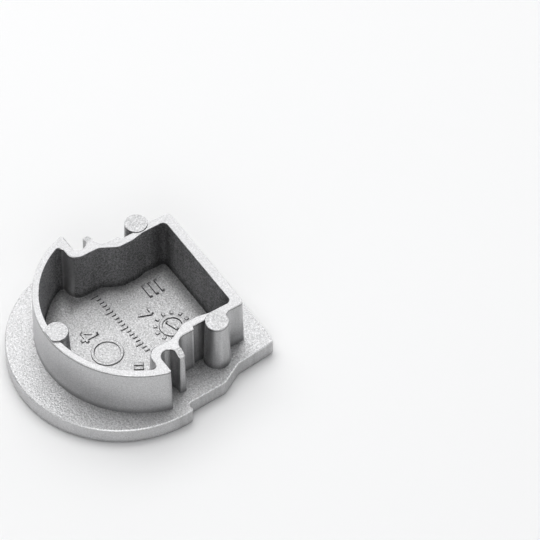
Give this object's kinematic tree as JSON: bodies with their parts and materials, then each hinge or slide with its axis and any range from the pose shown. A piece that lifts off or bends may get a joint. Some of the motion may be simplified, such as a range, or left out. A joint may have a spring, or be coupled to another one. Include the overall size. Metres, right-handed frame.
{
  "type": "profile end cap",
  "caption": "Moulded end cap with a round-headed flange and a hollow, slotted plug that presses into the open end of an extruded channel.",
  "frame": {"origin": "centre of the head's circle, on the flange's flat outer face", "axes": "+Z out of the outer face's back, the way the plug stands; +Y from the flat base to the round head; X = 0 is the plane of symmetry"},
  "size_m": [0.02, 0.0209, 0.0071],
  "materials": {
    "silver_plastic": "satin silver with a fine moulded grain"
  },
  "bodies": {
    "root": {"end_cap": "silver_plastic"}
  },
  "joints": []
}
